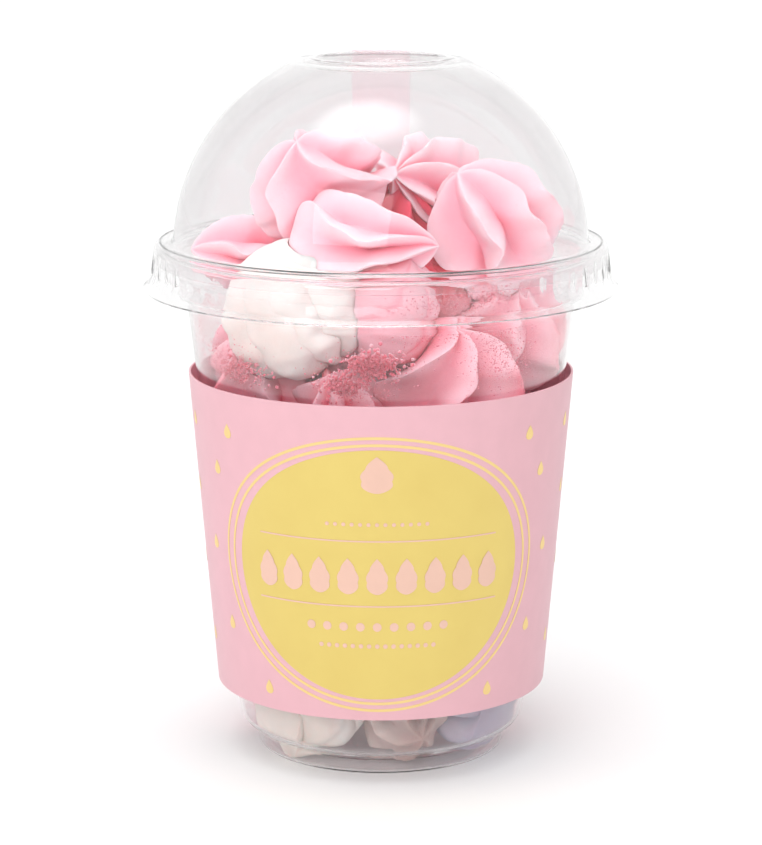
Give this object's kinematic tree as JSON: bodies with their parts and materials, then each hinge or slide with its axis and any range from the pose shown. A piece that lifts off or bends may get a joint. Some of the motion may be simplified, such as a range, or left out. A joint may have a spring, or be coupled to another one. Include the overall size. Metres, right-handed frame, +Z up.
{
  "type": "cup of meringue cookies",
  "caption": "Clear lidded cup filled with piped meringue cookies, with a printed paper sleeve round it and a paper seal strip over the back of its domed lid.",
  "frame": {"origin": "on the floor at the middle of the cup's foot", "axes": "+Z up along the cup's axis, -Y out of the sleeve's printed front, +Y out of the back where the seal strip runs"},
  "size_m": [0.1014, 0.1021, 0.15],
  "materials": {
    "clear_plastic": "clear gloss",
    "sleeve_board": "satin printed board with gold foil",
    "strip_paper": "satin",
    "meringue_pink": "matte, dry",
    "meringue_white": "matte, dry",
    "meringue_beige": "matte, dry",
    "meringue_lilac": "matte, dry"
  },
  "bodies": {
    "root": {"cup": "clear_plastic", "lid": "clear_plastic", "sleeve": "sleeve_board", "seal_strip": "strip_paper", "meringue_top_left": "meringue_pink", "meringue_front": "meringue_pink", "meringue_right": "meringue_pink", "meringue_back": "meringue_pink", "meringue_left": "meringue_pink", "meringue_low_front": "meringue_pink", "meringue_low_middle": "meringue_pink", "meringue_low_right": "meringue_pink", "meringue_low_left": "meringue_pink", "meringue_back_right": "meringue_pink", "meringue_back_left": "meringue_pink", "meringue_back_low": "meringue_pink", "base_pink_left": "meringue_pink", "base_pink_right": "meringue_pink", "meringue_fill": "meringue_pink", "meringue_white": "meringue_white", "base_white": "meringue_white", "base_white_back": "meringue_white", "base_beige": "meringue_beige", "base_lilac": "meringue_lilac"}
  },
  "joints": []
}
